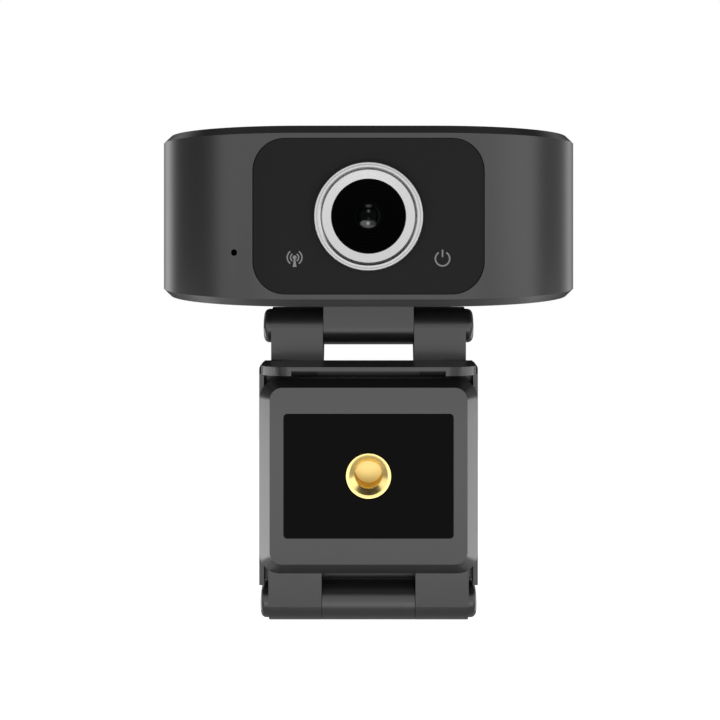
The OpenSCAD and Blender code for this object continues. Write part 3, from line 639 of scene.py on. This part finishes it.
def skin(shape, rings, steps):
    """Faces between each ring and the next."""
    for a, b in zip(rings, rings[1:]):
        for i in range(steps):
            j = (i + 1) % steps
            corners = [a[i % len(a)], a[j % len(a)], b[j % len(b)], b[i % len(b)]]
            shape.faces.new(list(dict.fromkeys(corners)))


def spun(name, profile, centre, body, finish, replaces):
    """Turned piece from (radius, y) in mm: a solid if it starts on the axis, or else a ring."""
    shape = bmesh.new()
    rings = []
    for radius, y in profile:
        if radius == 0:
            rings.append(tip_of(shape, centre, y))
        else:
            rings.append(ring_of(shape, SPIN_STEPS, centre, lambda turn: radius, lambda x, z: y))
    if len(rings[0]) > 1:
        rings.append(rings[0])
    skin(shape, rings, SPIN_STEPS)
    finished(name, shape, body, finish, replaces, sharp=30)


print("a spun piece has", SPIN_STEPS, "sides")

# %% The dome
lens_low, lens_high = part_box("front_lens")
LENS_FRONT, LENS_BACK = lens_low.y / MM, lens_high.y / MM
GLASS_R = (lens_high.x - lens_low.x) / 2 / MM
DOME_R, DOME_EDGE, DOME_STEPS = 3.7, 2.1, 24
SEAT_STEP = 0.1
dome = []
for i in range(DOME_STEPS + 1):
    angle = math.asin(DOME_EDGE / DOME_R) * i / DOME_STEPS
    dome.append((DOME_R * math.sin(angle), LENS_FRONT + DOME_R * (1 - math.cos(angle))))
seat = dome[-1][1]
dome += [(GLASS_R, seat + SEAT_STEP), (GLASS_R, LENS_BACK), (0, LENS_BACK)]
spun("front_lens_dome", dome, LENS_AT, "head", painted_glass, "front_lens")

# %% [markdown]
# ## The bezel round the lens
# The bezel is turned with two fine beads on its face. Their shallow valley is only a few
# hundredths of a millimetre deep, so it is spun here instead of cut as a groove. The profile
# runs from the rounded outer edge over the beads, down the inner slope to the seat of the
# trim and back along the rear.

# %% The beaded bezel
bezel_low, bezel_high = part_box("lens_bezel")
trim_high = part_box("lens_trim")[1]
RIM_R, RIM_Y, BEZEL_BACK = bezel_high.x / MM, bezel_low.y / MM, bezel_high.y / MM
TRIM_R, TRIM_SEAT = trim_high.x / MM, trim_high.y / MM
PANEL_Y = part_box("face_panel")[0].y / MM
EDGE, EDGE_STEPS, FACE_STEP = 0.28, 8, 0.01
LEDGE, WALL, SLACK = 0.90, 0.70, 0.05
valley = [(0.40, 0.03), (0.46, 0.09), (0.52, 0.09), (0.58, 0.02), (0.64, 0)]  # (inwards, down)
slope = [(0.32, 0), (0.26, 0.03), (SLACK, 0.24)]  # (out from the trim, down)
bezel = []
for i in range(EDGE_STEPS + 1):
    turn = math.pi / 2 * i / EDGE_STEPS
    rise = (EDGE - FACE_STEP) * math.sin(turn)
    bezel.append((RIM_R - EDGE + EDGE * math.cos(turn), RIM_Y + EDGE - rise))
bezel += [(RIM_R - inwards, RIM_Y + down) for inwards, down in valley]
bezel += [(TRIM_R + out, RIM_Y + down) for out, down in slope]
bezel += [(TRIM_R + SLACK, TRIM_SEAT), (TRIM_R - LEDGE, TRIM_SEAT), (TRIM_R - LEDGE, BEZEL_BACK)]
bezel += [(RIM_R - WALL, BEZEL_BACK), (RIM_R - WALL, PANEL_Y), (RIM_R, PANEL_Y)]
silver = finishes["trim_silver"]
spun("beaded_bezel", bezel, LENS_AT, "head", silver, "lens_bezel")

# %% [markdown]
# ## The threaded insert
# The brass insert takes a quarter-inch tripod screw: 20 turns to the inch, so a pitch of
# 1.27 mm. The solid has a plain bore at the crests. Here the wall of the bore is one sheet
# whose radius follows a screw's saw tooth as it runs down, and fades out at both ends, as
# a tap leaves it.

# %% The radius of the thread
PITCH, CREST_R, ROOT_R = 1.27, 2.625, 3.12
BORE_END = 4.3
TOOTH_HALF = 0.42  # share of the pitch
FADE_IN, FADE_OUT = (0.05, 0.5), (0.35, 0.4)  # (gap at the end of the bore, length), in mm


def thread_radius(turn, y):
    """Radius of the bore wall at a fraction of a turn and a depth in mm."""
    phase = (y / PITCH - turn) % 1.0
    tooth = max(0.0, 1.0 - abs(phase - 0.5) / TOOTH_HALF)
    start = max(0.0, (y - FADE_IN[0]) / FADE_IN[1])
    finish = max(0.0, (BORE_END - FADE_OUT[0] - y) / FADE_OUT[1])
    return CREST_R + (ROOT_R - CREST_R) * tooth * min(1.0, start, finish)


print("the thread is", round(ROOT_R - CREST_R, 3), "mm deep, in", round(BORE_END / PITCH, 1), "turns")

# %% The brass insert
insert_low, insert_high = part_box("tripod_insert")
AXIS = (0, 0)
THREAD_SIDES, ROWS_PER_TURN = 72, 14
MOUTH_R, MOUTH_Y = 3.6, insert_low.y / MM
FLANGE_R, FLANGE_T, FLANGE_BEVEL = insert_high.x / MM, 1.8, 0.12
BODY_R, INSERT_END = 3.8, insert_high.y / MM
MOUTH_EDGE, MOUTH_DROP = 0.08, 0.05
DRILL_POINT = 0.25
outside = [
    (BODY_R, INSERT_END),
    (BODY_R, MOUTH_Y + FLANGE_T),
    (FLANGE_R, MOUTH_Y + FLANGE_T),
    (FLANGE_R, MOUTH_Y + FLANGE_BEVEL),
    (FLANGE_R - FLANGE_BEVEL, MOUTH_Y),
    (MOUTH_R + MOUTH_EDGE, MOUTH_Y),
    (MOUTH_R, MOUTH_Y + MOUTH_DROP),
]
rows = int(BORE_END / PITCH * ROWS_PER_TURN)
insert = bmesh.new()
rings = [tip_of(insert, AXIS, INSERT_END)]
for radius, y in outside:
    rings.append(ring_of(insert, THREAD_SIDES, AXIS, lambda turn: radius, lambda x, z: y))
for row in range(rows + 1):
    y = BORE_END * row / rows
    wall = ring_of(insert, THREAD_SIDES, AXIS, lambda turn: thread_radius(turn, y), lambda x, z: y)
    rings.append(wall)
rings.append(tip_of(insert, AXIS, BORE_END + DRILL_POINT))
skin(insert, rings, THREAD_SIDES)
brass = finishes["insert_brass"]
finished("threaded_insert", insert, "leg", brass, "tripod_insert", sharp=40)

# %% [markdown]
# ## The screws
# One screw is modelled for each size: a low pan head with a cross recess, and a shank with a
# coarse thread for plastic. A node tree puts a copy at each place where the solids have one,
# turned by its own amount, as a screwdriver leaves them.

# %% The top of a screw head
RECESS_WIDTH, RECESS_REACH, RECESS_SOFT = 0.24, 0.62, 0.07  # shares of the head's radius
RECESS_DEPTH, CROWN = 0.6, 0.18  # shares of the head's thickness


def head_top(x, z, head_r, head_t):
    """Height of the head over a point: a low dome with the cross pressed into it."""
    r = math.hypot(x, z)
    soft = head_r * RECESS_SOFT
    in_arm = max(0.0, (head_r * RECESS_WIDTH - min(abs(x), abs(z))) / soft)
    in_reach = max(0.0, (head_r * RECESS_REACH - r) / soft)
    dome = head_t - CROWN * head_t * (r / head_r) ** 2
    return dome - head_t * RECESS_DEPTH * min(1.0, in_arm) * min(1.0, in_reach)


print("a 1 mm head is", round(head_top(0, 0, 2, 1), 2), "mm high in its recess")

# %% A screw with a cross recess
SCREW_SIDES, TOP_RINGS, EDGE_RINGS, ROWS_PER_PITCH = 48, 25, 4, 8
FLAT_R = 0.93  # share of the head's radius where its edge starts to round off
EDGE_HIGH, EDGE_DROP = 0.85, 0.2  # shares of the head's thickness
CORE, POINT_R, POINT_LENGTH = 0.74, 0.25, 1.5  # shares of the shank's radius
THREAD_HALF = 0.3  # share of the pitch


def screw_mesh(name, head_r, head_t, shank_r, length, pitch):
    """A screw along +Y, its head's underside at the origin; sizes in mm."""
    shape = bmesh.new()
    point_from = length - POINT_LENGTH * shank_r

    def ring(radius_at, height_at):
        return ring_of(shape, SCREW_SIDES, AXIS, radius_at, height_at)

    def shank_radius(turn, y):
        phase = (y / pitch - turn) % 1.0
        crest = max(0.0, 1.0 - abs(phase - 0.5) / THREAD_HALF) * min(1.0, y / pitch)
        narrowed = 1.0 - (y - point_from) / (length - point_from) * (1 - POINT_R)
        taper = 1.0 if y < point_from else max(POINT_R, narrowed)
        return shank_r * taper * (CORE + (1 - CORE) * crest)

    rings = [tip_of(shape, AXIS, head_t - head_t * RECESS_DEPTH)]
    for i in range(1, TOP_RINGS + 1):
        r = FLAT_R * head_r * i / TOP_RINGS
        rings.append(ring(lambda turn: r, lambda x, z: head_top(x, z, head_r, head_t)))
    for i in range(1, EDGE_RINGS + 1):
        bend = math.pi / 2 * i / EDGE_RINGS
        r = head_r * (FLAT_R + (1 - FLAT_R) * math.sin(bend))
        height = head_t * (EDGE_HIGH - EDGE_DROP * (1 - math.cos(bend)))
        rings.append(ring(lambda turn: r, lambda x, z: height))
    rings.append(ring(lambda turn: head_r, lambda x, z: 0.0))
    rows = int(length / pitch * ROWS_PER_PITCH)
    for row in range(rows + 1):
        y = length * row / rows
        rings.append(ring(lambda turn: shank_radius(turn, y), lambda x, z: -y))
    rings.append(tip_of(shape, AXIS, -length))
    skin(shape, rings, SCREW_SIDES)
    bmesh.ops.recalc_face_normals(shape, faces=shape.faces)
    mesh = bpy.data.meshes.new(name)
    shape.to_mesh(mesh)
    shape.free()
    print(name, "is", round(length + head_t, 2), "mm long")
    return bpy.data.objects.new(name, mesh)


# %% The node tree that sets the screws
set_screws = bpy.data.node_groups.new("set_screws", "GeometryNodeTree")
sockets = {}
for label, kind in (
    ("Geometry", "Geometry"),
    ("Screw", "Object"),
    ("Aim", "Vector"),
    ("Seed", "Int"),
    ("Metal", "Material"),
):
    sort = "NodeSocket" + kind
    sockets[label] = set_screws.interface.new_socket(label, in_out="INPUT", socket_type=sort)
set_screws.interface.new_socket("Geometry", in_out="OUTPUT", socket_type="NodeSocketGeometry")
tree = set_screws
asked = tree.nodes.new("NodeGroupInput").outputs
one_screw = add_node(tree, "GeometryNodeObjectInfo", {"Object": asked["Screw"]}).outputs["Geometry"]
QUARTER_TURN = math.pi / 2
draw = {3: QUARTER_TURN, "Seed": asked["Seed"]}
turn = add_node(tree, "FunctionNodeRandomValue", draw, data_type="FLOAT").outputs[1]
spin = add_node(tree, "ShaderNodeCombineXYZ", {"Y": turn}).outputs["Vector"]
settings = {"Points": asked["Geometry"], "Instance": one_screw, "Rotation": asked["Aim"]}
copies = add_node(tree, "GeometryNodeInstanceOnPoints", settings).outputs["Instances"]
whirl = add_node(tree, "GeometryNodeRotateInstances", {"Instances": copies, "Rotation": spin})
real = add_node(tree, "GeometryNodeRealizeInstances", {"Geometry": whirl.outputs["Instances"]})
settings = {"Geometry": real.outputs["Geometry"], "Material": asked["Metal"]}
plated = add_node(tree, "GeometryNodeSetMaterial", settings).outputs["Geometry"]
add_node(tree, "NodeGroupOutput", {"Geometry": plated})
print("tree set_screws has", len(tree.nodes), "nodes")

# %% Helpers that place the screws


def place_screws(name, node, screw, places, aim, seed):
    """Puts a screw at each place and lets the result stand for the plain screws of a node."""
    mesh = bpy.data.meshes.new(name + "_places")
    mesh.from_pydata([tuple(place) for place in places], [], [])
    holder = bpy.data.objects.new(name + "_places", mesh)
    bpy.context.scene.collection.objects.link(screw)
    bpy.context.scene.collection.objects.link(holder)
    setter = holder.modifiers.new("set_screws", "NODES")
    setter.node_group = set_screws
    values = {"Screw": screw, "Aim": aim, "Seed": seed, "Metal": finishes["screw_steel"]}
    for label, value in values.items():
        setter[sockets[label].identifier] = value
    ready = holder.evaluated_get(bpy.context.evaluated_depsgraph_get())
    plain = bpy.data.meshes.new_from_object(ready)
    holder.modifiers.remove(setter)
    for spare in (holder, screw):
        bpy.data.objects.remove(spare)
    shape = bmesh.new()
    shape.from_mesh(plain)
    bpy.data.meshes.remove(plain)
    finished(name, shape, "head", finishes["screw_steel"], node, sharp=30)


def corners_of(node, head_d, y):
    """The heads' places of four screws along Y, from the box that holds them all."""
    low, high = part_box(node)
    reach_x, reach_z = ((high[axis] - low[axis] - head_d * MM) / 2 for axis in (0, 2))
    middle = (low + high) / 2
    signs = [(x, z) for x in (-1, 1) for z in (-1, 1)]
    return [(middle.x + x * reach_x, y * MM, middle.z + z * reach_z) for x, z in signs]


case_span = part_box("case_screws")[1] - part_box("case_screws")[0]
print("the case screws span", [round(side / MM, 1) for side in case_span], "mm")

# %% Set the screws of the case, the board and the neck
SHANK_R, SCREW_PITCH = 0.95, 0.8
CASE_D, CASE_T = 3.6, 1.4
BOARD_D, BOARD_T = 3.4, 1.1
ALONG_Y, ALONG_Z = (0, 0, 0), (math.pi / 2, 0, 0)
for node, head_d, head_t, seed in (
    ("case_screws", CASE_D, CASE_T, 5),
    ("board_screws", BOARD_D, BOARD_T, 8),
):
    low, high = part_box(node)
    seat = high.y / MM - head_t
    screw = screw_mesh(node + "_one", head_d / 2, head_t, SHANK_R, seat - low.y / MM, SCREW_PITCH)
    places = corners_of(node, head_d, seat)
    place_screws(node + "_crossed", node, screw, places, ALONG_Y, seed)

low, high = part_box("neck_screws")
seat = high.z / MM - BOARD_T
screw = screw_mesh("neck_one", BOARD_D / 2, BOARD_T, SHANK_R, seat - low.z / MM, SCREW_PITCH)
side, middle_y = high.x - BOARD_D / 2 * MM, (low.y + high.y) / 2
places = [(x, middle_y, seat * MM) for x in (-side, side)]
place_screws("neck_screws_crossed", "neck_screws", screw, places, ALONG_Z, 3)

# %% [markdown]
# ## The floor
# The floor is plain and pale. It keeps the object's shadow, and to the camera and through
# glass it also glows up to white, the more the further it lies from the object, so that it
# meets the backdrop without an edge.

# %% The floor
FLOOR_Z = cad_box[0].z - 170 * MM
FLOOR_HALF = 0.8
FLOOR_SHADE = (0.8, 0.8, 0.8, 1)


def behind_all(tree):
    """1 for a ray from the camera or through glass, which sees the plain white."""
    rays = add_node(tree, "ShaderNodeLightPath").outputs
    return maths(tree, "MAXIMUM", rays["Is Camera Ray"], rays["Is Transmission Ray"])


floor_mesh = bpy.data.meshes.new("studio_floor")
quarter_signs = [(-1, -1), (1, -1), (1, 1), (-1, 1)]
floor_corners = [(x * FLOOR_HALF, y * FLOOR_HALF, FLOOR_Z) for x, y in quarter_signs]
floor_mesh.from_pydata(floor_corners, [], [(0, 1, 2, 3)])
floor = bpy.data.objects.new("studio_floor", floor_mesh)
bpy.context.scene.collection.objects.link(floor)
floor_white, tree, shader = new_finish("studio_white", Roughness=0.9, Specular_IOR_Level=0.0)
shader.inputs["Base Color"].default_value = FLOOR_SHADE
place = add_node(tree, "ShaderNodeTexCoord").outputs["Object"]
away = add_node(tree, "ShaderNodeVectorMath", {0: place}, operation="LENGTH").outputs["Value"]
white = ramp(tree, away, start=0.2, stop=0.33, low=0.85, high=1.0, smooth=False)
glow_look = {"Color": (1, 1, 1, 1), "Strength": maths(tree, "MULTIPLY", behind_all(tree), white)}
glow = add_node(tree, "ShaderNodeEmission", glow_look).outputs[0]
both = add_node(tree, "ShaderNodeAddShader", {0: shader.outputs[0], 1: glow}).outputs[0]
plug(tree, node_of(tree, "OUTPUT_MATERIAL").inputs["Surface"], both)
floor_mesh.materials.append(floor_white)
print("floor at", round(FLOOR_Z, 4))

# %% [markdown]
# ## The backdrop
# The backdrop is plain white to the camera and through glass. A gloss sees it at both rear
# quarters, a little less on the right. Straight behind, where the camera's own line runs on,
# it sees a dark flag, so the tops of the lip and the hinge don't wash out. At both sides it
# sees a dim fill, which softens the dark edges of the legs.

# %% The backdrop
world = bpy.data.worlds.new("studio_backdrop")
bpy.context.scene.world = world
world.use_nodes = True
tree = world.node_tree
tree.nodes.clear()
way = place_on(tree, "Generated")
sideways = maths(tree, "ABSOLUTE", way["X"])
EVEN_DARK = 0.02

behind = ramp(tree, way["Y"], start=0.54, stop=0.76, low=0.0, high=1.9)
flagged = ramp(tree, way["Y"], start=0.72, stop=0.90, low=1.0, high=0.45)
below_ceiling = ramp(tree, way["Z"], start=0.3, stop=0.75, low=1.0, high=0.1)
off_centre = ramp(tree, sideways, start=0.38, stop=0.62, low=0.0, high=1.0)
less_on_right = ramp(tree, way["X"], start=-0.2, stop=0.2, low=1.0, high=0.72)
quarters = maths(tree, "MULTIPLY", behind, flagged, below_ceiling, off_centre, less_on_right)

beside = ramp(tree, sideways, start=0.7, stop=0.9, low=0.0, high=1.0)
more_on_right = ramp(tree, way["X"], start=-0.2, stop=0.2, low=0.16, high=0.30)
level = ramp(tree, maths(tree, "ABSOLUTE", way["Z"]), start=0.35, stop=0.6, low=1.0, high=0.0)
fill = maths(tree, "MULTIPLY", beside, more_on_right, level)

lit = maths(tree, "ADD", quarters, fill, EVEN_DARK)
shown = {0: behind_all(tree), 2: lit, 3: 1.0}
strength = add_node(tree, "ShaderNodeMix", shown, data_type="FLOAT").outputs[0]
light = add_node(tree, "ShaderNodeBackground", {"Color": (1, 1, 1, 1), "Strength": strength})
add_node(tree, "ShaderNodeOutputWorld", {"Surface": light.outputs[0]})
print("the backdrop has", len(tree.nodes), "nodes")

# %% [markdown]
# ## The lamps
# Small glossy products are lit with large pale panels. A wide one stands behind the camera
# for the flat faces, a second one in front of it carries it down below the clip, and two
# wings carry it round to the sides. A low one at each side draws a bright line on the bevels
# of the leg but stays below the head. The ceiling is left dark, so everything that faces up
# stays deep. Each lamp is given by what a mirror would show of it, so its power grows with
# its size.

# %% The lamps


def soft_panel(name, at, aim, size, brightness):
    """A rectangular lamp at a place, pointed at another; brightness is what a mirror shows."""
    data = bpy.data.lights.new(name, "AREA")
    data.shape = "RECTANGLE"
    data.size, data.size_y = size
    data.energy = brightness * math.pi * size[0] * size[1]
    lamp = bpy.data.objects.new(name, data)
    lamp.location = at
    lamp.rotation_euler = (Vector(aim) - Vector(at)).to_track_quat("-Z", "Y").to_euler()
    lamp.visible_camera = False
    bpy.context.scene.collection.objects.link(lamp)


LAMPS = [  # name, place, what it points at, width and height, brightness
    ("front_panel", (0, -0.62, 0.16), (0, 0, 0.06), (1.2, 0.60), 1.27),
    ("low_panel", (0, -0.28, -0.093), (0, 0, 0.0), (0.56, 0.12), 1.39),
    ("left_wing", (-0.746, -0.466, 0.14), (0, 0, 0.05), (0.44, 0.60), 1.22),
    ("right_wing", (0.80, -0.36, 0.14), (0, 0, 0.05), (0.72, 0.60), 1.27),
    ("ceiling", (0, 0.12, 0.45), (0, 0.12, 0), (0.60, 0.34), 0.15),
    ("left_low", (-0.24, 0.08, -0.105), (0, 0, -0.03), (0.14, 0.17), 4.0),
    ("right_low", (0.24, 0.08, -0.105), (0, 0, -0.03), (0.14, 0.17), 3.3),
]
for lamp in LAMPS:
    soft_panel(*lamp)
print("lamps:", len(LAMPS))
